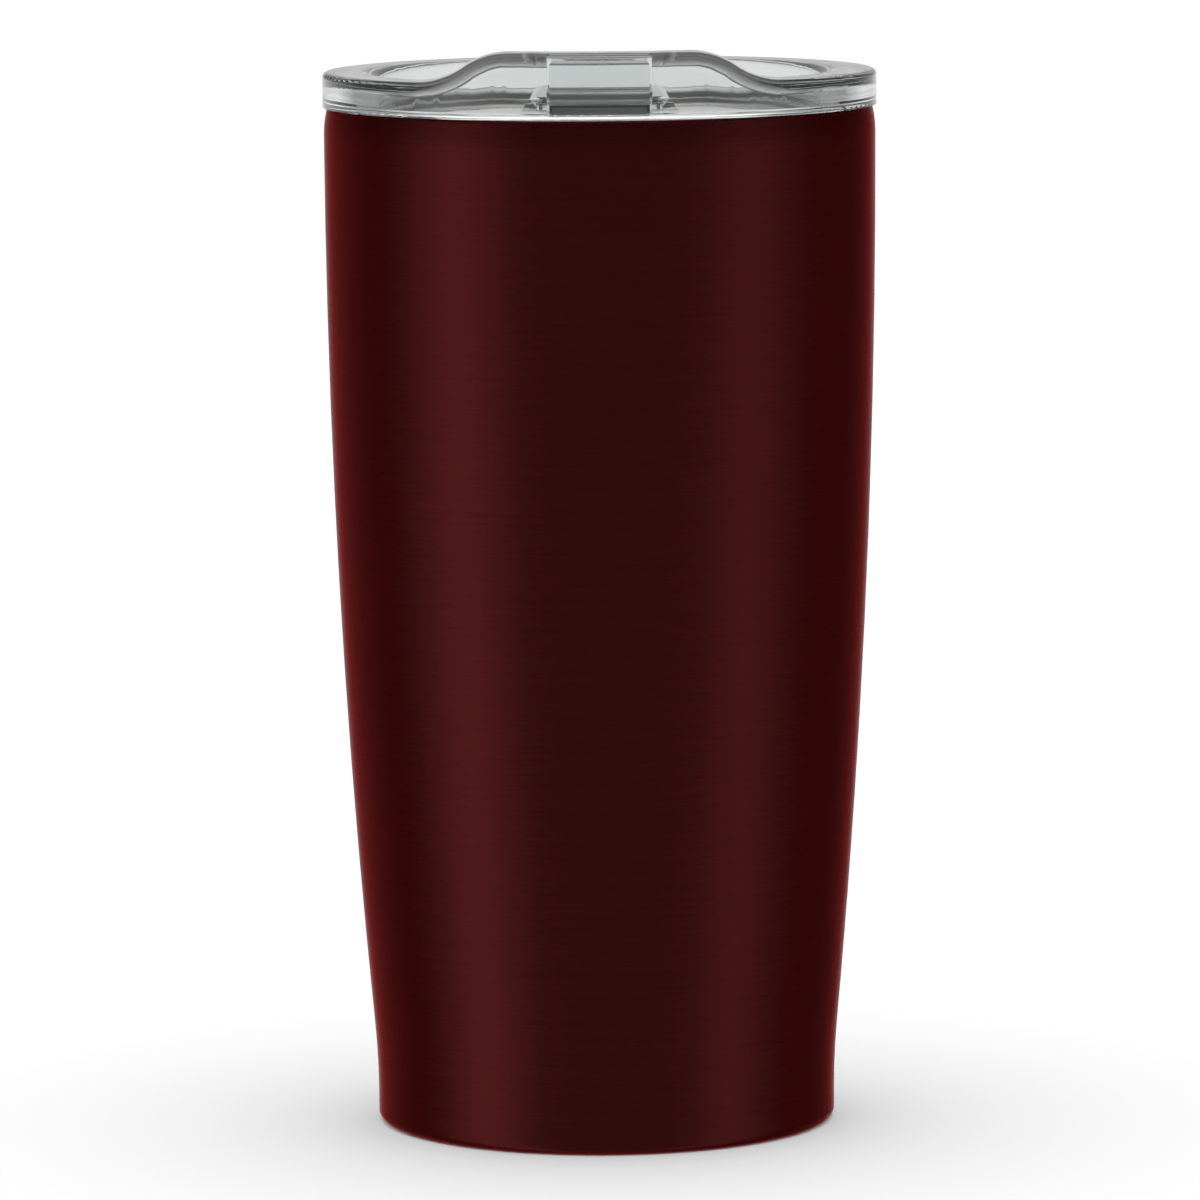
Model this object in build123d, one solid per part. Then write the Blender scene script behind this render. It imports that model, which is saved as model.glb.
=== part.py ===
"""Insulated tumbler with a clear push-in lid and a sliding sip cover.

Vacuum-insulated steel cup: a lacquered outer shell and a bare liner welded together at the
mouth, closed below by a vacuum base with its getter and sealing bead, and by a base cap.
The lid is one clear moulding with a raised drinking lip at the front (-Y), a silicone gasket,
and a slider that covers the sip slot.

Millimetres. The origin is the centre of the base on the surface that the cup stands on, +Z is up.
"""

import os
from math import asin, atan, cos, degrees, radians, sin, sqrt

from build123d import *

# ---------------------------------------------------------------- cup, driving dimensions
rim_height = 165.1  # top of the steel rim above the table
body_radius = 44.25  # outside, at the widest
body_taper = 7.25  # how much smaller the foot's radius is
steel_wall = 0.5
vacuum_gap = 3.85  # between the shell and the liner
foot_land = 4.5  # top of the straight band at the foot
foot_corner = 1.6
flare_radius = 120.0  # concave sweep from the foot into the body
shoulder_drop = 5.1  # from the rim down to where the wall is upright
shoulder_round = 17.0
shoulder_turn = radians(12.9)  # how far the shoulder leans in before the rim rolls over
mouth_round = 1.1
rim_weld_inset = 1.6  # the weld ring, outwards from the mouth

liner_weld_height = 24.0  # where the liner tube meets its base
liner_floor_height = 9.0
liner_corner = 8.0

foil_wall = 0.15
foil_margin = 8.0  # bare liner left above and below the foil

# ---------------------------------------------------------------- base, driving dimensions
foot_flange = 2.0  # width of the turned-in ring that the cup stands on
cap_flange = 1.8
cap_recess = 1.7
cap_clearance = 0.2
vacuum_base_height = 5.0
vacuum_base_skirt = 3.2
dimple_radius = 4.0
dimple_rise = 1.2
dimple_slope = 0.6
pump_hole_radius = 0.6
bead_drop = 0.1  # the sealing bead hangs this far below the vacuum base
getter_offset = 18.0
getter_radius = 4.6
getter_height = 1.5
getter_cup_wall = 0.3
getter_cup_height = 2.0
getter_clearance = 0.1

# ---------------------------------------------------------------- lid, driving dimensions
seat_clearance = 0.15  # between the lid and the rim under it
plug_clearance = 0.5
lid_overhang = 0.2  # the lid's flange past the body
skirt_drop = 0.7  # the flange reaches this far below the rim's top
flange_height = 5.6
plug_wall = 3.3
plug_depth = 11.1  # below the rim
plug_thickness = 2.5  # below the lid's floor, where the gasket groove is
dish_depth = 6.4
dish_corner = 1.0
dish_edge = 2.8
floor_wall = 2.0
edge_round = 0.9

lip_rise = 4.9  # drinking lip above the flange's top
lip_run = 15.2  # sideways length of each flank
lip_side_gap = 6.6  # from the foot of each flank to the dish's side

gasket_height = 4.4
gasket_groove = 1.2
gasket_groove_above = 2.2  # groove's lower edge above the plug's bottom
gasket_clearance = 0.12
gasket_play = 0.1
fin_count = 2
fin_thickness = 1.0  # at the root
fin_tip = 0.35
fin_lean = 0.9

slot_width = 11.0
slot_length = 6.0
slot_corner = 1.5
slot_rim_gap = 2.0  # from the dish's wall to the slot
vent_radius = 1.1
vent_offset = 24.0

# ---------------------------------------------------------------- slider, driving dimensions
slider_margin = 1.9  # slider past the slot, each side
slider_length = 22.6
slider_height = 8.2  # from the track floor to its top
slider_travel = 12.0
slider_clearance = 0.35
slider_edge = 0.5
slider_lift = 0.3  # slider's underside above the track floor
slider_corner = 1.6
slider_end_gap = 0.4
rail_wall = 2.2  # at its top
rail_draft = 3.8  # wider at its foot by this
rail_drop = 2.2  # below the flange's top
rail_shoulder = 2.0
rail_end_wall = 2.4
track_depth = 5.0  # below the flange's top
track_wall = 2.0
track_pocket = 2.3  # how far the track reaches into the lip
groove_depth = 0.9
groove_height = 1.3
groove_lift = 0.35  # above the track floor
groove_play = 0.12
seal_wall = 1.0
seal_inset = 0.5  # from the slider's sides
seal_lift = 0.15
seal_overlap = 1.7  # past the slot's inner edge
grip_height = 0.5
grip_width = 3.4
grip_inset = 3.2
thumb_radius = 15.0
thumb_depth = 0.6
grip_round = 0.4
rib_count = 2  # grooves across the ridge
rib_radius = 0.22

# ---------------------------------------------------------------- worked out from those
foot_radius = body_radius - body_taper
shoulder_height = rim_height - shoulder_drop
mouth_radius = body_radius - 2 * steel_wall - vacuum_gap
body_turn = 2 * atan(body_taper / (shoulder_height - foot_land))
sweep_sum = (shoulder_height - foot_land) / sin(body_turn)
body_sweep = sweep_sum - flare_radius
roll_radius = (shoulder_drop - shoulder_round * sin(shoulder_turn)) / (1 - sin(shoulder_turn))
weld_radius = mouth_radius + rim_weld_inset

lid_radius = body_radius + lid_overhang
skirt_bottom = rim_height - skirt_drop
ring_top = skirt_bottom + flange_height
lip_top = ring_top + lip_rise
plug_radius = mouth_radius - plug_clearance
dish_radius = plug_radius - plug_wall
lip_half_top = dish_radius - lip_side_gap - lip_run
dish_floor = ring_top - dish_depth
floor_under = dish_floor - floor_wall
plug_bottom = rim_height - plug_depth
plug_inner = plug_radius - plug_thickness
groove_bottom = plug_bottom + gasket_groove_above
groove_top = groove_bottom + gasket_height
groove_root = plug_radius - gasket_groove

track_floor = ring_top - track_depth
rail_top = ring_top - rail_drop
slider_half = slot_width / 2 + slider_margin
track_half = slider_half + slider_clearance
rail_half = track_half + rail_wall
track_front = dish_radius + track_pocket
slider_front = track_front - slider_end_gap
slider_back = slider_length - slider_front
track_back = slider_back + slider_travel + slider_clearance
platform_back = track_back + rail_end_wall
slot_front = dish_radius - slot_rim_gap
slot_back = slot_front - slot_length
seal_back = seal_overlap - slot_back
slider_top = track_floor + slider_height
slider_bottom = track_floor + slider_lift

near = 0.01  # how close counts as the same place
cut_past = 1.0  # how far a cut runs past what it opens
along = (0, 0.37, 1)  # three places along an edge, to tell where it runs

# ---------------------------------------------------------------- helpers
def line_on(path, x, z):
    """Adds a straight run from the path's end to (x, z)."""
    path.append(Line(path[-1] @ 1, (x, z)))


def bend_on(path, radius, turn):
    """Adds an arc that leaves the path's end in its direction; a positive turn is to the left."""
    path.append(JernArc(path[-1] @ 1, path[-1] % 1, radius, degrees(turn)))


def polygon(*points):
    return make_face(Polyline(*points, close=True))


def turned(face):
    """Solid of revolution about the cup's axis, from a face whose plane holds (radius, height)."""
    return revolve(Plane.XZ * face, Axis.Z)


def ring(inner, outer, low, high):
    body = Pos(0, 0, low) * Cylinder(outer, high - low, align=(Align.CENTER, Align.CENTER, Align.MIN))
    if inner:
        body -= Pos(0, 0, low) * Cylinder(inner, high - low, align=(Align.CENTER, Align.CENTER, Align.MIN))
    return body


def block(x0, x1, y0, y1, z0, z1):
    return Pos(x0, y0, z0) * Box(x1 - x0, y1 - y0, z1 - z0, align=(Align.MIN,) * 3)


def is_upright(edge):
    return abs(edge.tangent_at(0.5).Z) > 1 - near


def edges_of(shape, test):
    return [edge for edge in shape.edges() if test(edge.center(), edge)]


# ---------------------------------------------------------------- the cup's wall
def body_path(inset):
    """The shell's outside from the standing ring up to the rim, moved inwards by inset."""
    path = [Line((foot_radius - foot_corner - foot_flange, inset), (foot_radius - foot_corner, inset))]
    bend_on(path, foot_corner - inset, radians(90))
    line_on(path, foot_radius - inset, foot_land)
    bend_on(path, flare_radius + inset, -body_turn)
    bend_on(path, body_sweep - inset, body_turn)
    bend_on(path, shoulder_round - inset, shoulder_turn)
    bend_on(path, roll_radius - inset, radians(90) - shoulder_turn)
    line_on(path, weld_radius, rim_height - inset)
    return path


def wall_radius(height, inset):
    """Radius of the body's long curve at a height, moved inwards by inset."""
    return body_radius - body_sweep + sqrt((body_sweep - inset) ** 2 - (shoulder_height - height) ** 2)


def wall_point(height, inset):
    return (wall_radius(height, inset), height)


def wall_arc(low, high, inset):
    """The long curve between two heights."""
    middle = (low + high) / 2
    return ThreePointArc(wall_point(low, inset), wall_point(middle, inset), wall_point(high, inset))


liner_outside = steel_wall + vacuum_gap
liner_inside = liner_outside + steel_wall


def wall_face(outside, inside):
    """Face between two like paths, joined at both ends."""
    edges = outside + inside
    edges.append(Line(outside[0] @ 0, inside[0] @ 0))
    edges.append(Line(outside[-1] @ 1, inside[-1] @ 1))
    return make_face(edges)


def outer_shell():
    return turned(wall_face(body_path(0), body_path(steel_wall)))


def liner_path(inset):
    """One side of the liner, from its weld up, over the mouth's edge and out to the rim weld."""
    depth = inset - liner_outside  # 0 on the vacuum side, one wall on the wet side
    radius = mouth_round - steel_wall + depth
    path = [wall_arc(liner_weld_height, shoulder_height, inset)]
    line_on(path, body_radius - inset, rim_height - mouth_round)
    bend_on(path, radius, radians(-90))
    line_on(path, weld_radius, rim_height - steel_wall + depth)
    return path


def inner_liner():
    return turned(wall_face(liner_path(liner_inside), liner_path(liner_outside)))


def liner_base_path(inset):
    """One side of the liner's base: down its wall, round the corner and in to the axis."""
    depth = inset - liner_outside
    lean = asin((shoulder_height - liner_weld_height) / (body_sweep - inset))
    corner = liner_corner - depth
    floor = liner_floor_height + depth
    drop = liner_weld_height - floor - corner * (1 - sin(lean))
    start = wall_point(liner_weld_height, inset)
    path = [Line(start, (start[0] - drop * sin(lean) / cos(lean), liner_weld_height - drop))]
    bend_on(path, corner, lean - radians(90))
    line_on(path, 0, floor)
    return path


def liner_base():
    return turned(wall_face(liner_base_path(liner_outside), liner_base_path(liner_inside)))


def radiation_foil():
    low = liner_weld_height + foil_margin
    high = shoulder_height - foil_margin
    return turned(
        wall_face([wall_arc(low, high, liner_outside - foil_wall)], [wall_arc(low, high, liner_outside)])
    )


# ---------------------------------------------------------------- the base
def vacuum_base():
    outer = foot_radius - steel_wall
    top = vacuum_base_height
    under = top - steel_wall
    dimple_inner = dimple_radius - steel_wall
    return turned(
        polygon(
            (outer, top - vacuum_base_skirt),
            (outer, top),
            (dimple_radius + dimple_slope, top),
            (dimple_radius, top + dimple_rise),
            (pump_hole_radius, top + dimple_rise),
            (pump_hole_radius, under + dimple_rise),
            (dimple_inner, under + dimple_rise),
            (dimple_inner + dimple_slope, under),
            (outer - steel_wall, under),
            (outer - steel_wall, top - vacuum_base_skirt),
        )
    )


def sealing_bead():
    """Glass solder that closes the pumping hole from below."""
    under = vacuum_base_height - steel_wall
    roof = under + dimple_rise
    reach = dimple_radius - steel_wall
    return turned(
        polygon(
            (0, under - bead_drop),
            (reach, under - bead_drop),
            (reach, roof),
            (pump_hole_radius, roof),
            (pump_hole_radius, roof + steel_wall / 2),
            (0, roof + steel_wall / 2),
        )
    )


def getter_cup():
    outer = getter_radius + getter_clearance + getter_cup_wall
    low = vacuum_base_height
    cup = ring(0, outer, low, low + getter_cup_height)
    cup -= ring(0, outer - getter_cup_wall, low + getter_cup_wall, low + getter_cup_height)
    return Pos(getter_offset, 0, 0) * cup


def getter_pill():
    low = vacuum_base_height + getter_cup_wall
    return Pos(getter_offset, 0, 0) * ring(0, getter_radius, low, low + getter_height)


def base_cap():
    """Pressed cover whose flange rests on the shell's turned-in foot."""
    outer = foot_radius - foot_corner - cap_clearance
    inner = outer - cap_flange
    low = steel_wall
    roof = cap_recess + steel_wall
    return turned(
        polygon(
            (outer, low),
            (outer, low + steel_wall),
            (inner, low + steel_wall),
            (inner, roof),
            (0, roof),
            (0, cap_recess),
            (inner - steel_wall, cap_recess),
            (inner - steel_wall, low),
        )
    )


# ---------------------------------------------------------------- the lid
def lip_profile(half_top, run, top, bottom, foot):
    """Front view of the raised lip: flat top, S-shaped flanks, closed along its foot."""
    rise = top - bottom
    turn = 2 * atan(rise / run)
    radius = run / 2 / sin(turn)
    path = [Line((0, top), (half_top, top))]
    bend_on(path, radius, -turn)
    bend_on(path, radius, turn)
    end = path[-1] @ 1
    line_on(path, end.X, foot)
    line_on(path, 0, foot)
    line_on(path, 0, top)
    half = make_face(path)
    return half + mirror(half, Plane.YZ)


def front_prism(face, reach):
    """A front-view face carried from the lid's axis towards the front."""
    return extrude(Plane.XZ * face, amount=reach)


def rim_space():
    """Room for the rolled rim inside the lid's skirt, grown by the seat clearance."""
    path = body_path(-seat_clearance)[5:7]
    top = path[-1] @ 1
    line_on(path, plug_radius, top.Y)
    line_on(path, plug_radius, shoulder_height)
    start = path[0] @ 0
    line_on(path, start.X, start.Y)
    return turned(make_face(path))


def dish():
    """The round hollow in the lid's top."""
    hollow = ring(0, dish_radius, dish_floor, lip_top + cut_past)
    return fillet(edges_of(hollow, lambda c, e: abs(c.Z - dish_floor) < near), dish_corner)


def top_edges(lid):
    """The edges that run round the outside of the flange and the lip."""

    def is_outside(point):
        return abs(sqrt(point.X**2 + point.Y**2) - lid_radius) < near

    return edges_of(
        lid, lambda c, e: c.Z > ring_top - near and all(is_outside(e @ t) for t in along)
    )


def dish_edges(lid):
    """The edges that run round the dish's mouth and over the back of the lip."""

    def is_inside(point):
        return point.Z > ring_top - near and sqrt(point.X**2 + point.Y**2) < dish_radius + near

    return edges_of(lid, lambda c, e: all(is_inside(e @ t) for t in along))


def platform():
    """Drafted block with rounded shoulders, which carries the track from the lip to the centre."""
    low = floor_under
    foot_half = rail_half + rail_draft
    face = polygon((-foot_half, low), (foot_half, low), (rail_half, rail_top), (-rail_half, rail_top))
    shoulders = [v for v in face.vertices() if v.Y > low + near]
    face = fillet(shoulders, rail_shoulder)
    body = extrude(Plane.XZ.offset(-platform_back) * face, amount=platform_back + lid_radius)
    end = edges_of(body, lambda c, e: abs(c.Y - platform_back) < near and c.Z > low + near)
    body = fillet(end, rail_end_wall / 3)
    return body & ring(0, dish_radius + plug_wall / 2, low, rail_top)


def lid_shell():
    lid = ring(0, lid_radius, skirt_bottom, ring_top)
    lid += ring(0, plug_radius, plug_bottom, skirt_bottom)
    lip = front_prism(lip_profile(lip_half_top, lip_run, lip_top, ring_top, skirt_bottom), lid_radius)
    lid += lip & ring(0, lid_radius, skirt_bottom, lip_top)
    lid -= dish()
    lid = fillet(top_edges(lid), edge_round)
    lid = fillet(dish_edges(lid), dish_edge)
    lid += platform()
    lid -= ring(0, plug_inner, plug_bottom, floor_under)
    lid -= ring(groove_root, plug_radius + cut_past, groove_bottom, groove_top)
    lid -= rim_space()
    lid -= under_track()
    lid -= track()
    lid -= sip_slot()
    lid -= Pos(0, vent_offset, floor_under) * Cylinder(vent_radius, 3 * floor_wall)
    return lid


def under_track():
    """Hollow under the track, so that the track's floor is as thin as the rest."""
    low, high = floor_under, track_floor - track_wall
    space = block(-rail_half, rail_half, -plug_inner, platform_back - rail_end_wall, low, high)
    return space & ring(0, plug_inner, low, high)


def track():
    """The slider's trough, with a groove along each rail."""
    space = block(-track_half, track_half, -track_front, track_back, track_floor, lip_top + cut_past)
    space &= ring(0, track_front, track_floor, lip_top + cut_past)
    half = track_half + groove_depth
    low = track_floor + groove_lift
    return space + block(-half, half, -slot_back - slider_clearance, track_back, low, low + groove_height)


def sip_slot():
    slot = block(
        -slot_width / 2, slot_width / 2, -slot_front, -slot_back, floor_under, track_floor + slider_lift
    )
    slot &= ring(0, slot_front, floor_under, track_floor + slider_lift)
    corners = edges_of(slot, lambda c, e: e.length > floor_wall and is_upright(e))
    return fillet(corners, slot_corner)


def lid_gasket():
    """Silicone ring in the plug's groove, with two fins that lean up against the liner."""
    low, high = groove_bottom + gasket_play, groove_top - gasket_play
    tip = mouth_radius - gasket_clearance
    outline = [(groove_root, low), (plug_radius, low)]
    for number in range(fin_count):
        foot = low + (high - low) * (2 * number + 1) / (2 * fin_count) - fin_thickness / 2
        outline += [
            (plug_radius, foot),
            (tip, foot + fin_lean),
            (tip, foot + fin_lean + fin_tip),
            (plug_radius, foot + fin_thickness),
        ]
    outline += [(plug_radius, high), (groove_root, high)]
    return turned(polygon(*outline))


# ---------------------------------------------------------------- the slider
def slider():
    low, high = slider_bottom, slider_top
    body = block(-slider_half, slider_half, -slider_front, slider_back, low, high)
    uprights = edges_of(body, lambda c, e: is_upright(e) and c.Y > slider_back - near)
    body = fillet(uprights, slider_corner)
    body &= ring(0, slider_front, low, high)
    body = fillet(edges_of(body, lambda c, e: c.Z > high - near), slider_edge)
    scoop_middle = -(slider_front - slider_back) / 2
    body -= Pos(0, scoop_middle, high - thumb_depth + thumb_radius) * Sphere(thumb_radius)
    body += thumb_grip() + slider_feet()
    return body - seal_space()


def slider_feet():
    """Runners that keep the slider down in the rails' grooves."""
    half = track_half + groove_depth - groove_play
    low = track_floor + groove_lift + groove_play
    high = low + groove_height - 2 * groove_play
    return block(-half, half, -slot_back, slider_back - slider_corner, low, high)


def thumb_grip():
    """Grooved ridge at the slider's back end."""
    middle = slider_back - grip_inset
    base, top = slider_top - grip_height, slider_top + grip_height
    half = slider_half - slider_corner
    ridge = block(-half, half, middle - grip_width / 2, middle + grip_width / 2, base, top)
    ridge = fillet(edges_of(ridge, lambda c, e: c.Z > top - near), grip_round)
    step = (grip_width - 2 * grip_round) / (rib_count + 1)
    for number in range(rib_count):
        y = middle - grip_width / 2 + grip_round + step * (number + 1)
        ridge -= Pos(0, y, top) * Rot(0, 90, 0) * Cylinder(rib_radius, 2 * half)
    return ridge


def seal_space():
    half = slider_half - seal_inset
    low = track_floor + seal_lift
    space = block(-half, half, -slider_front + seal_inset, seal_back - seal_inset, low, low + seal_wall)
    return space & ring(0, slider_front - seal_inset, low, low + seal_wall)


def slider_seal():
    return seal_space()


nodes = {
    "outer_shell": outer_shell,
    "inner_liner": inner_liner,
    "liner_base": liner_base,
    "radiation_foil": radiation_foil,
    "vacuum_base": vacuum_base,
    "sealing_bead": sealing_bead,
    "getter_cup": getter_cup,
    "getter_pill": getter_pill,
    "base_cap": base_cap,
    "lid_shell": lid_shell,
    "lid_gasket": lid_gasket,
    "slider": slider,
    "slider_seal": slider_seal,
}

os.makedirs("parts", exist_ok=True)
for name, make in nodes.items():
    shape = make()
    solids = shape.solids()
    print(name, len(solids), "solid(s)", round(sum(s.volume for s in solids), 1), "mm3")
    export_step(Compound(children=list(solids)) if len(solids) > 1 else solids[0], f"parts/{name}.step")
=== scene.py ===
from math import degrees, radians

import bmesh
import bpy
from mathutils import Matrix, Vector


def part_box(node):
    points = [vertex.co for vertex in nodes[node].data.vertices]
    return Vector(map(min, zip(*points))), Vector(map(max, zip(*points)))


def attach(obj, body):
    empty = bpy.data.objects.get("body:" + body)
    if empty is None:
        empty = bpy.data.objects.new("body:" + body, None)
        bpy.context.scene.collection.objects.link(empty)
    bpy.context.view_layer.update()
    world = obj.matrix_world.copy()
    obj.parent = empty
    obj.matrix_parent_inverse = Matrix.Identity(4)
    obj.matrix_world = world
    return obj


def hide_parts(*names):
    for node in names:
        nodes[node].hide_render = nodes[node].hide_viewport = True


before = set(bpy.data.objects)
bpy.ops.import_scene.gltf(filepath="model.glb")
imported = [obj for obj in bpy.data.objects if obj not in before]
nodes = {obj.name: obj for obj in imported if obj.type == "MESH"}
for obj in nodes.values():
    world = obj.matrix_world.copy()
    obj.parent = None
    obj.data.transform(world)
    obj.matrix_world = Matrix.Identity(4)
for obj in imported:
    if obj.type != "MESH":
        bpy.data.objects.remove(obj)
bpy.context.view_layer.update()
mm = 0.001


def newTree(name, ins, outs):
    tree = bpy.data.node_groups.new(name, "ShaderNodeTree")
    for label, kind, value in ins:
        sock = tree.interface.new_socket(label, in_out="INPUT", socket_type=kind)
        sock.default_value = value
    for label, kind in outs:
        tree.interface.new_socket(label, in_out="OUTPUT", socket_type=kind)
    return tree, tree.nodes.new("NodeGroupInput"), tree.nodes.new("NodeGroupOutput")


def mathNode(tree, kind, a, b=None):
    node = tree.nodes.new("ShaderNodeMath")
    node.operation = kind
    for slot, value in enumerate((a, b)):
        if value is None:
            continue
        if isinstance(value, (int, float)):
            node.inputs[slot].default_value = value
        else:
            tree.links.new(value, node.inputs[slot])
    return node.outputs[0]


def noiseNode(tree, vector, scale, detail, rough=0.5):
    node = tree.nodes.new("ShaderNodeTexNoise")
    node.inputs["Scale"].default_value = scale
    node.inputs["Detail"].default_value = detail
    node.inputs["Roughness"].default_value = rough
    tree.links.new(vector, node.inputs["Vector"])
    return node.outputs["Fac"]


def rangeNode(tree, value, low, high, toLow=0.0, toHigh=1.0):
    node = tree.nodes.new("ShaderNodeMapRange")
    tree.links.new(value, node.inputs["Value"])
    for label, number in (("From Min", low), ("From Max", high), ("To Min", toLow), ("To Max", toHigh)):
        node.inputs[label].default_value = number
    return node.outputs["Result"]


def stretchNode(tree, vector, scale):
    node = tree.nodes.new("ShaderNodeVectorMath")
    node.operation = "MULTIPLY"
    tree.links.new(vector, node.inputs[0])
    node.inputs[1].default_value = scale
    return node.outputs[0]


def mixColour(tree, fac, a, b):
    node = tree.nodes.new("ShaderNodeMix")
    node.data_type = "RGBA"
    tree.links.new(fac, node.inputs["Factor"])
    node.inputs[6].default_value = (*a, 1)
    node.inputs[7].default_value = (*b, 1)
    return node.outputs[2]


# fine lines that run round the axis: long scratches and short dashes, in grains per metre
brushing = {"dashes": (450, 450, 5200), "dashShare": 0.6, "longLines": (60, 60, 2600), "longShare": 0.4}


def makeBrushMarks():
    tree, gin, gout = newTree(
        "brushMarks",
        [("Vector", "NodeSocketVector", (0, 0, 0)), ("Length", "NodeSocketFloat", 1.0)],
        [("Lines", "NodeSocketFloat")],
    )
    vector = gin.outputs["Vector"]
    perLength = mathNode(tree, "DIVIDE", 1.0, gin.outputs["Length"])
    combine = tree.nodes.new("ShaderNodeCombineXYZ")
    tree.links.new(perLength, combine.inputs[0])
    tree.links.new(perLength, combine.inputs[1])
    combine.inputs[2].default_value = 1.0
    squeeze = tree.nodes.new("ShaderNodeVectorMath")
    squeeze.operation = "MULTIPLY"
    tree.links.new(vector, squeeze.inputs[0])
    tree.links.new(combine.outputs[0], squeeze.inputs[1])
    squeezed = squeeze.outputs[0]
    dashes = noiseNode(tree, stretchNode(tree, squeezed, brushing["dashes"]), 1.0, 3.0, 0.65)
    longLines = noiseNode(tree, stretchNode(tree, squeezed, brushing["longLines"]), 1.0, 2.0, 0.6)
    dashPart = mathNode(tree, "MULTIPLY", dashes, brushing["dashShare"])
    longPart = mathNode(tree, "MULTIPLY", longLines, brushing["longShare"])
    both = mathNode(tree, "ADD", dashPart, longPart)
    tree.links.new(rangeNode(tree, both, 0.3, 0.7), gout.inputs["Lines"])
    return tree


# faint smears and specks from handling, in spots per metre
handling = {"smearScale": (38, 38, 24), "speckScale": (2600, 2600, 2600)}


def makeHandling():
    tree, gin, gout = newTree(
        "handling",
        [("Vector", "NodeSocketVector", (0, 0, 0)), ("Amount", "NodeSocketFloat", 1.0)],
        [("Smears", "NodeSocketFloat"), ("Specks", "NodeSocketFloat")],
    )
    vector = gin.outputs["Vector"]
    cloudy = noiseNode(tree, stretchNode(tree, vector, handling["smearScale"]), 1.0, 4.0, 0.55)
    dotted = noiseNode(tree, stretchNode(tree, vector, handling["speckScale"]), 1.0, 0.0)
    masks = {"Smears": rangeNode(tree, cloudy, 0.45, 0.8), "Specks": rangeNode(tree, dotted, 0.74, 0.82)}
    for label, value in masks.items():
        tree.links.new(mathNode(tree, "MULTIPLY", value, gin.outputs["Amount"]), gout.inputs[label])
    return tree


groups = {"brush": makeBrushMarks(), "handling": makeHandling()}
print("shader groups:", list(groups))


def newMaterial(name, settings):
    material = bpy.data.materials.new(name)
    material.use_nodes = True
    tree = material.node_tree
    bsdf = tree.nodes["Principled BSDF"]
    for label, value in settings.items():
        bsdf.inputs[label].default_value = value
    coords = tree.nodes.new("ShaderNodeTexCoord").outputs["Object"]
    return material, tree, bsdf, coords


def useGroup(tree, key, coords, **values):
    node = tree.nodes.new("ShaderNodeGroup")
    node.node_tree = groups[key]
    tree.links.new(coords, node.inputs["Vector"])
    for label, value in values.items():
        node.inputs[label].default_value = value
    return node


def addBump(tree, bsdf, height, strength, distance):
    bump = tree.nodes.new("ShaderNodeBump")
    bump.inputs["Strength"].default_value = strength
    bump.inputs["Distance"].default_value = distance
    tree.links.new(height, bump.inputs["Height"])
    tree.links.new(bump.outputs["Normal"], bsdf.inputs["Normal"])


def dressNode(name, material):
    mesh = nodes[name].data
    mesh.materials.clear()
    mesh.materials.append(material)


# translucent red lacquer over brushed steel
lacquer = {
    "dark": (0.056, 0.0066, 0.0068),
    "light": (0.084, 0.0094, 0.0097),
    "coat": 0.06,
    "coatRough": 0.35,
    "edge": (0.56, 0.11, 0.11, 1.0),
    "rough": (0.23, 0.31),
    "brushLength": 1.0,
    "smears": 0.06,
    "bump": 0.12,
}
brushDepth = 0.02 * mm


def makeLacquer():
    settings = {
        "Metallic": 1.0,
        "Specular Tint": lacquer["edge"],
        "Coat Weight": lacquer["coat"],
        "Coat Roughness": lacquer["coatRough"],
    }
    material, tree, bsdf, coords = newMaterial("maroonLacquer", settings)
    brush = useGroup(tree, "brush", coords, Length=lacquer["brushLength"])
    touch = useGroup(tree, "handling", coords, Amount=0.5)
    colour = mixColour(tree, brush.outputs["Lines"], lacquer["dark"], lacquer["light"])
    tree.links.new(colour, bsdf.inputs["Base Color"])
    rough = rangeNode(tree, brush.outputs["Lines"], 0, 1, *lacquer["rough"])
    smeared = mathNode(tree, "MULTIPLY", touch.outputs["Smears"], lacquer["smears"])
    tree.links.new(mathNode(tree, "ADD", rough, smeared), bsdf.inputs["Roughness"])
    addBump(tree, bsdf, brush.outputs["Lines"], lacquer["bump"], brushDepth)
    return material


steel = {"darkest": 0.82, "smears": 0.08}


def makeSteel(name, colour, rough, brushLength, bump):
    material, tree, bsdf, coords = newMaterial(name, {"Metallic": 1.0})
    brush = useGroup(tree, "brush", coords, Length=brushLength)
    touch = useGroup(tree, "handling", coords, Amount=1.0)
    darker = tuple(c * steel["darkest"] for c in colour)
    tree.links.new(mixColour(tree, brush.outputs["Lines"], darker, colour), bsdf.inputs["Base Color"])
    lines = rangeNode(tree, brush.outputs["Lines"], 0, 1, *rough)
    smeared = mathNode(tree, "MULTIPLY", touch.outputs["Smears"], steel["smears"])
    tree.links.new(mathNode(tree, "ADD", lines, smeared), bsdf.inputs["Roughness"])
    addBump(tree, bsdf, brush.outputs["Lines"], bump, brushDepth)
    return material


clear = {"tint": (0.9, 0.925, 0.92), "worn": 0.97, "ior": 1.56, "rough": (0.012, 0.05)}


def makeClear(name):
    settings = {"Transmission Weight": 1.0, "IOR": clear["ior"], "Metallic": 0.0}
    material, tree, bsdf, coords = newMaterial(name, settings)
    touch = useGroup(tree, "handling", coords, Amount=1.0)
    tint = clear["tint"]
    worn = tuple(c * clear["worn"] for c in tint)
    tree.links.new(mixColour(tree, touch.outputs["Smears"], tint, worn), bsdf.inputs["Base Color"])
    tree.links.new(rangeNode(tree, touch.outputs["Smears"], 0, 1, *clear["rough"]), bsdf.inputs["Roughness"])
    return material


silicone = {"fresh": (0.86, 0.87, 0.86), "dusty": (0.74, 0.75, 0.74), "ior": 1.41, "rough": (0.4, 0.6)}


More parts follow.
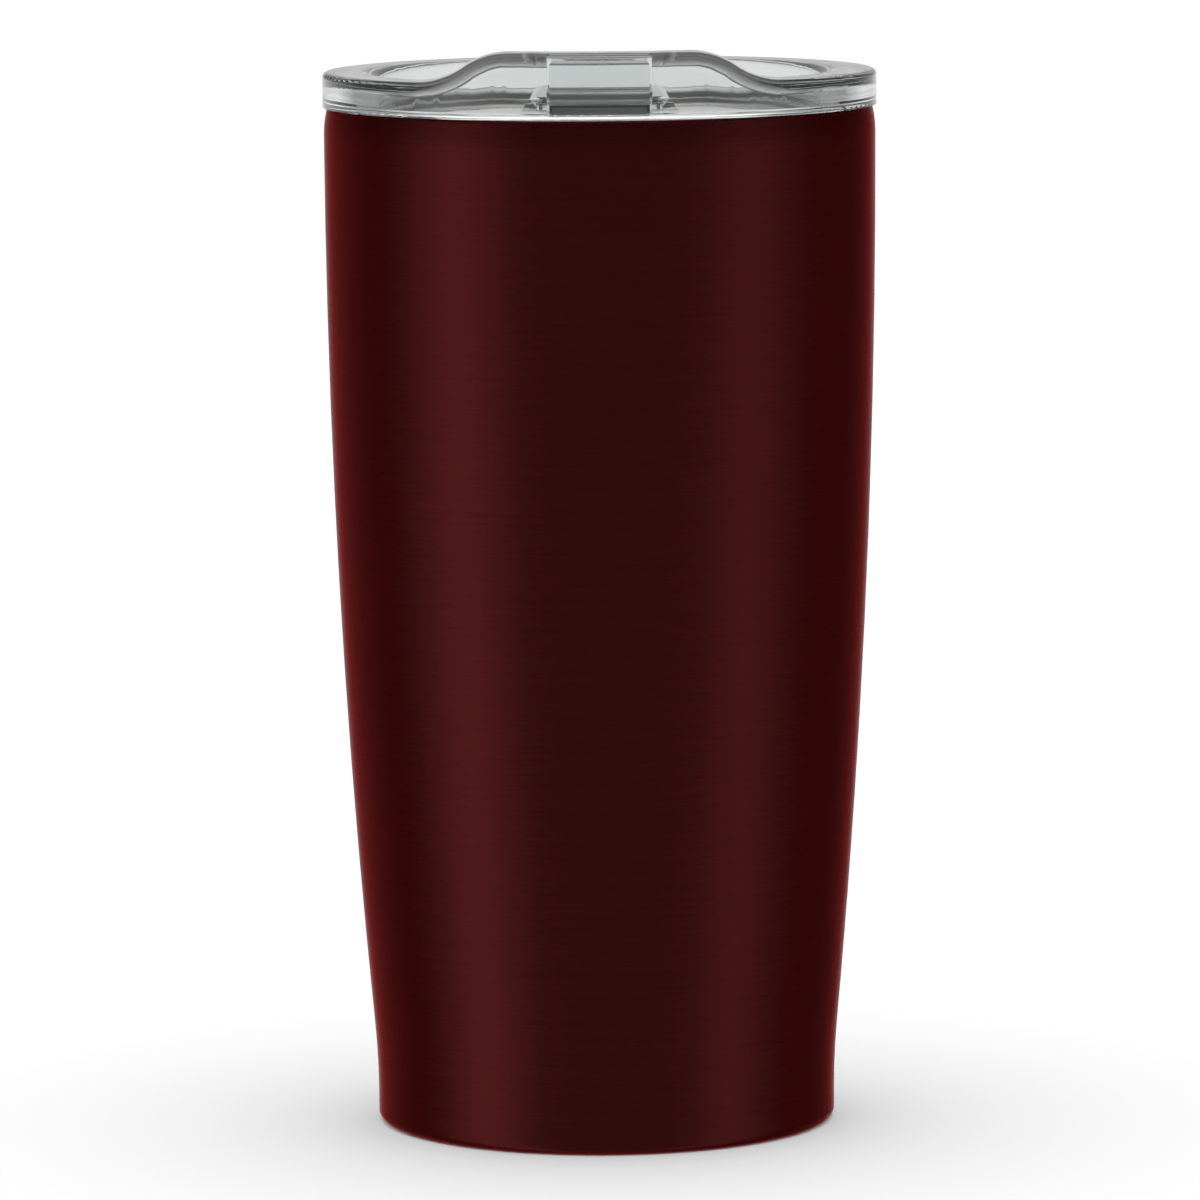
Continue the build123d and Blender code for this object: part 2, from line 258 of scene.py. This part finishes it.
def makeSilicone(name, clearness):
    settings = {"Transmission Weight": clearness, "Metallic": 0.0, "IOR": silicone["ior"]}
    material, tree, bsdf, coords = newMaterial(name, settings)
    touch = useGroup(tree, "handling", coords, Amount=1.0)
    marks = mathNode(tree, "MAXIMUM", touch.outputs["Smears"], touch.outputs["Specks"])
    colour = mixColour(tree, marks, silicone["fresh"], silicone["dusty"])
    tree.links.new(colour, bsdf.inputs["Base Color"])
    tree.links.new(rangeNode(tree, marks, 0, 1, *silicone["rough"]), bsdf.inputs["Roughness"])
    return material


def makeGrainy(name, low, high, rough, scale, metallic, bump):
    material, tree, bsdf, coords = newMaterial(name, {"Metallic": metallic})
    grain = noiseNode(tree, stretchNode(tree, coords, (scale, scale, scale)), 1.0, 4.0, 0.6)
    spread = rangeNode(tree, grain, 0.35, 0.65)
    tree.links.new(mixColour(tree, spread, low, high), bsdf.inputs["Base Color"])
    tree.links.new(rangeNode(tree, grain, 0.3, 0.7, *rough), bsdf.inputs["Roughness"])
    addBump(tree, bsdf, grain, bump, 0.1 * mm)
    return material


# name, darkest and lightest colour, roughness range, grains per metre, metallic, bump strength
grainy = {
    "radiation_foil": ("brightFoil", (0.7, 0.7, 0.7), (0.82, 0.82, 0.82), (0.16, 0.3), 900, 1.0, 0.4),
    "sealing_bead": ("glassSolder", (0.09, 0.075, 0.06), (0.16, 0.14, 0.11), (0.1, 0.25), 600, 0.0, 0.2),
    "getter_pill": ("getterPowder", (0.07, 0.07, 0.075), (0.14, 0.14, 0.145), (0.6, 0.85), 3000, 0.6, 0.6),
}
bareSteel = makeSteel("bareSteel", (0.8, 0.76, 0.73), (0.26, 0.36), 1.6, 0.15)
pressedSteel = makeSteel("pressedSteel", (0.5, 0.49, 0.48), (0.3, 0.42), 3.0, 0.1)
finishes = {node: makeGrainy(*settings) for node, settings in grainy.items()}
finishes["outer_shell"] = makeLacquer()
finishes["inner_liner"] = bareSteel
finishes["liner_base"] = bareSteel
for name in ("vacuum_base", "getter_cup", "base_cap"):
    finishes[name] = pressedSteel
finishes["lid_shell"] = makeClear("clearLid")
finishes["slider"] = makeClear("clearSlider")
finishes["lid_gasket"] = makeSilicone("gasketSilicone", 0.15)
finishes["slider_seal"] = makeSilicone("sealSilicone", 0.1)
for name, material in finishes.items():
    dressNode(name, material)
print("materials:", len(finishes))


# Clear mouldings show every wrong normal, so each is a merged copy whose flat faces keep theirs.
mouldings = {
    "mergeWithin": 0.001 * mm,
    "sharpFrom": radians(26),
    "pieces": {"lid_shell": ("lid_moulding", "lid"), "slider": ("slider_moulding", "slider")},
}


def mergedMesh(name, source):
    soup = bmesh.new()
    soup.from_mesh(source)
    bmesh.ops.remove_doubles(soup, verts=soup.verts, dist=mouldings["mergeWithin"])
    places = [vert.co[:] for vert in soup.verts]
    faces = [[vert.index for vert in face.verts] for face in soup.faces]
    soup.free()
    mesh = bpy.data.meshes.new(name)
    mesh.from_pydata(places, [], faces)
    mesh.shade_smooth()
    mesh.set_sharp_from_angle(angle=mouldings["sharpFrom"])
    return mesh


def bakeModifiers(piece):
    evaluated = piece.evaluated_get(bpy.context.evaluated_depsgraph_get())
    result = bpy.data.meshes.new_from_object(evaluated)
    piece.modifiers.clear()
    piece.data = result


def makeMoulding(node, name, body):
    piece = bpy.data.objects.new(name, mergedMesh(name, nodes[node].data))
    bpy.context.scene.collection.objects.link(piece)
    modifier = piece.modifiers.new("flatFaces", "WEIGHTED_NORMAL")
    modifier.keep_sharp = True
    modifier.weight = 100
    bakeModifiers(piece)
    piece.data.materials.append(finishes[node])
    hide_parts(node)
    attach(piece, body)


for node, (name, body) in mouldings["pieces"].items():
    makeMoulding(node, name, body)
print("clear mouldings:", len(mouldings["pieces"]))


# Things that follow a circle round the axis: a rounded four-cornered profile, swept and repeated.
def makeRingTree():
    tree = bpy.data.node_groups.new("sweptRing", "GeometryNodeTree")
    wanted = [
        ("Path radius", "NodeSocketFloat"),
        ("Foot height", "NodeSocketFloat"),
        ("Corner 1", "NodeSocketVector"),
        ("Corner 2", "NodeSocketVector"),
        ("Corner 3", "NodeSocketVector"),
        ("Corner 4", "NodeSocketVector"),
        ("Corner round", "NodeSocketFloat"),
        ("Copies", "NodeSocketInt"),
        ("Spacing", "NodeSocketFloat"),
        ("Material", "NodeSocketMaterial"),
    ]
    for label, kind in wanted:
        tree.interface.new_socket(label, in_out="INPUT", socket_type=kind)
    tree.interface.new_socket("Geometry", in_out="OUTPUT", socket_type="NodeSocketGeometry")
    given = tree.nodes.new("NodeGroupInput").outputs
    result = tree.nodes.new("NodeGroupOutput")
    path = tree.nodes.new("GeometryNodeCurvePrimitiveCircle")
    path.inputs["Resolution"].default_value = 180
    profile = tree.nodes.new("GeometryNodeCurvePrimitiveQuadrilateral")
    profile.mode = "POINTS"
    rounded = tree.nodes.new("GeometryNodeFilletCurve")
    rounded.mode = "POLY"
    rounded.inputs["Count"].default_value = 3
    rounded.inputs["Limit Radius"].default_value = True
    upright = tree.nodes.new("GeometryNodeSetCurveNormal")
    upright.mode = "Z_UP"
    sweep = tree.nodes.new("GeometryNodeCurveToMesh")
    rows = tree.nodes.new("GeometryNodeMeshLine")
    start = tree.nodes.new("ShaderNodeCombineXYZ")
    step = tree.nodes.new("ShaderNodeCombineXYZ")
    scatter = tree.nodes.new("GeometryNodeInstanceOnPoints")
    realize = tree.nodes.new("GeometryNodeRealizeInstances")
    paint = tree.nodes.new("GeometryNodeSetMaterial")
    link = tree.links.new
    link(given["Path radius"], path.inputs["Radius"])
    for number in range(1, 5):
        link(given[f"Corner {number}"], profile.inputs[f"Point {number}"])
    link(profile.outputs["Curve"], rounded.inputs["Curve"])
    link(given["Corner round"], rounded.inputs["Radius"])
    link(path.outputs["Curve"], upright.inputs["Curve"])
    link(upright.outputs["Curve"], sweep.inputs["Curve"])
    link(rounded.outputs["Curve"], sweep.inputs["Profile Curve"])
    link(given["Foot height"], start.inputs["Z"])
    link(given["Spacing"], step.inputs["Z"])
    link(given["Copies"], rows.inputs["Count"])
    link(start.outputs[0], rows.inputs["Start Location"])
    link(step.outputs[0], rows.inputs["Offset"])
    link(rows.outputs["Mesh"], scatter.inputs["Points"])
    link(sweep.outputs["Mesh"], scatter.inputs["Instance"])
    link(scatter.outputs["Instances"], realize.inputs["Geometry"])
    link(realize.outputs["Geometry"], paint.inputs["Geometry"])
    link(given["Material"], paint.inputs["Material"])
    link(paint.outputs["Geometry"], result.inputs["Geometry"])
    return tree


ringTree = makeRingTree()


def sweptRing(name, values):
    piece = bpy.data.objects.new(name, bpy.data.meshes.new(name))
    bpy.context.scene.collection.objects.link(piece)
    modifier = piece.modifiers.new("ring", "NODES")
    modifier.node_group = ringTree
    items = ringTree.interface.items_tree
    sockets = {item.name: item.identifier for item in items if item.in_out == "INPUT"}
    for label, value in values.items():
        modifier[sockets[label]] = value
    bakeModifiers(piece)
    return piece


def corners(*points):
    # outward and upward offsets of a profile's corners from its path, whose Y runs downwards
    return {f"Corner {number + 1}": (out, -up, 0.0) for number, (out, up) in enumerate(points)}


gasket = {
    "grooveDepth": 1.2 * mm,
    "finReach": 0.38 * mm,
    "finCount": 2,
    "finRoot": 1.0 * mm,
    "finTip": 0.35 * mm,
    "finLean": 0.9 * mm,
    "bodyRound": 0.3 * mm,
    "finRound": 0.14 * mm,
}


def makeGasket():
    low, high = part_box("lid_gasket")
    tip, foot, height = high[0], low[2], high[2] - low[2]
    face = tip - gasket["finReach"]
    root = face - gasket["grooveDepth"]
    body = sweptRing("gasket_body", {
        "Path radius": root,
        "Foot height": foot,
        **corners((0, 0), (face - root, 0), (face - root, height), (0, height)),
        "Corner round": gasket["bodyRound"],
        "Copies": 1,
        "Spacing": 0.0,
        "Material": finishes["lid_gasket"],
    })
    spacing = height / gasket["finCount"]
    inside = -gasket["finTip"]
    lean, reach = gasket["finLean"], gasket["finReach"]
    fins = sweptRing("gasket_fins", {
        "Path radius": face,
        "Foot height": foot + spacing / 2 - gasket["finRoot"] / 2,
        **corners((inside, 0), (reach, lean), (reach, lean + gasket["finTip"]), (inside, gasket["finRoot"])),
        "Corner round": gasket["finRound"],
        "Copies": gasket["finCount"],
        "Spacing": spacing,
        "Material": finishes["lid_gasket"],
    })
    return joinPieces("finned_gasket", (body, fins))


weld = {"half": 0.42 * mm, "crest": 0.2 * mm, "rise": 0.06 * mm, "sink": 0.12 * mm, "round": 0.08 * mm}


def makeRimWeld():
    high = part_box("inner_liner")[1]
    half, crest, rise, sink = weld["half"], weld["crest"], weld["rise"], weld["sink"]
    return sweptRing("rim_weld", {
        "Path radius": high[0],
        "Foot height": high[2],
        **corners((-half, -sink), (half, -sink), (crest, rise), (-crest, rise)),
        "Corner round": weld["round"],
        "Copies": 1,
        "Spacing": 0.0,
        "Material": bareSteel,
    })


def joinPieces(name, pieces):
    joined = bmesh.new()
    for piece in pieces:
        joined.from_mesh(piece.data)
    bmesh.ops.recalc_face_normals(joined, faces=joined.faces)
    mesh = bpy.data.meshes.new(name)
    joined.to_mesh(mesh)
    joined.free()
    mesh.materials.append(pieces[0].data.materials[0])
    mesh.shade_smooth()
    mesh.set_sharp_from_angle(angle=mouldings["sharpFrom"])
    for piece in pieces:
        bpy.data.objects.remove(piece)
    whole = bpy.data.objects.new(name, mesh)
    bpy.context.scene.collection.objects.link(whole)
    return whole


finnedGasket = makeGasket()
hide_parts("lid_gasket")
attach(finnedGasket, "lid")
rimWeld = joinPieces("rim_weld", (makeRimWeld(),))
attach(rimWeld, "tumbler")
print("gasket and weld are in place")


floorLook = {"halfWidth": 40.0, "colour": (0.93, 0.93, 0.93, 1), "rough": 0.9}


def makeFloor():
    mesh = bpy.data.meshes.new("floor")
    half = floorLook["halfWidth"]
    square = [(-half, -half, 0), (half, -half, 0), (half, half, 0), (-half, half, 0)]
    mesh.from_pydata(square, [], [(0, 1, 2, 3)])
    floor = bpy.data.objects.new("floor", mesh)
    bpy.context.scene.collection.objects.link(floor)
    settings = {"Base Color": floorLook["colour"], "Roughness": floorLook["rough"]}
    mesh.materials.append(newMaterial("paleFloor", settings)[0])
    floor.visible_glossy = False  # the shell mirrors the studio, not the table
    floor.visible_transmission = False


# A light studio. The angles are degrees round the cup from the front, to the right as positive.
# Polished things mirror two soft panels and a bright wall behind; clear things look at a screen
# of limited size behind them, which is what gives their edges a dark outline.
studio = {
    "room": 1.15,
    "backdrop": 1.0,
    "dim": 0.4,
    "behind": 0.95,
    "leftPanel": (-63.0, 31.0, 0.85),
    "rightPanel": (65.0, 26.0, 0.52),
    "wallFromLeft": (112.0, 150.0),
    "wallFromRight": (134.0, 166.0),
    "aboveMirrored": 0.62,
    "screen": 0.86,
    "screenSide": (16.0, 36.0),
    "screenTop": (0.22, 0.5),
    "aroundScreen": 0.32,
    "ceiling": 0.9,
    "ceilingFrom": (0.5, 0.8),
    "table": 0.5,
    "tableFrom": (-0.3, -0.1),
}


def mixValue(tree, fac, a, b):
    node = tree.nodes.new("ShaderNodeMix")
    for socket, value in ((node.inputs["Factor"], fac), (node.inputs[2], a), (node.inputs[3], b)):
        if isinstance(value, float):
            socket.default_value = value
        else:
            tree.links.new(value, socket)
    return node.outputs[0]


def makeWorld():
    world = bpy.data.worlds.new("studio")
    bpy.context.scene.world = world
    world.use_nodes = True
    tree = world.node_tree
    direction = tree.nodes.new("ShaderNodeTexCoord").outputs["Generated"]
    split = tree.nodes.new("ShaderNodeSeparateXYZ")
    tree.links.new(direction, split.inputs[0])
    height = split.outputs["Z"]
    toFront = mathNode(tree, "MULTIPLY", split.outputs["Y"], -1.0)
    angle = mathNode(tree, "MULTIPLY", mathNode(tree, "ARCTAN2", split.outputs["X"], toFront), degrees(1.0))
    leftwards = mathNode(tree, "MULTIPLY", angle, -1.0)

    mirrored = mathNode(
        tree,
        "MAXIMUM",
        rangeNode(tree, leftwards, *studio["wallFromLeft"], studio["dim"], studio["behind"]),
        rangeNode(tree, angle, *studio["wallFromRight"], studio["dim"], studio["behind"]),
    )
    for key in ("leftPanel", "rightPanel"):
        middle, half, gain = studio[key]
        off = mathNode(tree, "ABSOLUTE", mathNode(tree, "SUBTRACT", angle, middle))
        mirrored = mathNode(tree, "ADD", mirrored, rangeNode(tree, off, half, 0.0, 0.0, gain))
    above = rangeNode(tree, height, -0.04, 0.06, 1.0, studio["aboveMirrored"])
    mirrored = mathNode(tree, "MULTIPLY", mirrored, above)

    fromBehind = mathNode(tree, "SUBTRACT", 180.0, mathNode(tree, "ABSOLUTE", angle))
    screen = rangeNode(tree, fromBehind, *studio["screenSide"], 1.0, 0.0)
    screen = mathNode(tree, "MULTIPLY", screen, rangeNode(tree, height, *studio["screenTop"], 1.0, 0.0))
    through = rangeNode(tree, screen, 0.0, 1.0, studio["aroundScreen"], studio["screen"])
    ceiling = rangeNode(tree, height, *studio["ceilingFrom"], 0.0, studio["ceiling"])
    table = rangeNode(tree, height, *studio["tableFrom"], studio["table"], 0.0)
    through = mathNode(tree, "MAXIMUM", through, mathNode(tree, "MAXIMUM", ceiling, table))

    path = tree.nodes.new("ShaderNodeLightPath")
    light = mixValue(tree, path.outputs["Is Glossy Ray"], studio["room"], mirrored)
    light = mixValue(tree, path.outputs["Is Transmission Ray"], light, through)
    light = mixValue(tree, path.outputs["Is Camera Ray"], light, studio["backdrop"])
    background = tree.nodes["Background"]
    tree.links.new(light, background.inputs["Color"])
    background.inputs["Strength"].default_value = 1.0


def addPanel(name, size, place, target, power):
    light = bpy.data.lights.new(name, "AREA")
    light.shape = "RECTANGLE"
    light.size, light.size_y = size
    light.energy = power
    panel = bpy.data.objects.new(name, light)
    panel.location = place
    panel.rotation_euler = (Vector(place) - Vector(target)).to_track_quat("Z", "Y").to_euler()
    bpy.context.scene.collection.objects.link(panel)


view = {"place": (-0.0005, -1.3241, 0.2415), "pitch": 6.769, "roll": -0.42, "lens": 247.62}


def addCamera():
    data = bpy.data.cameras.new("camera")
    data.lens = view["lens"]
    data.sensor_width = 36.0
    data.clip_start = 0.05
    camera = bpy.data.objects.new("camera", data)
    camera.location = view["place"]
    lean = Matrix.Rotation(radians(90 - view["pitch"]), 3, "X")
    camera.rotation_euler = (lean @ Matrix.Rotation(radians(view["roll"]), 3, "Z")).to_euler()
    bpy.context.scene.collection.objects.link(camera)
    bpy.context.scene.camera = camera


makeFloor()
makeWorld()
addPanel("overhead", (1.6, 1.6), (0, 0.2, 2.2), (0, 0, 0), 4)
addCamera()
scene = bpy.context.scene
scene.view_settings.view_transform = "Standard"
scene.cycles.max_bounces = 32
scene.cycles.transmission_bounces = 28
scene.cycles.glossy_bounces = 8
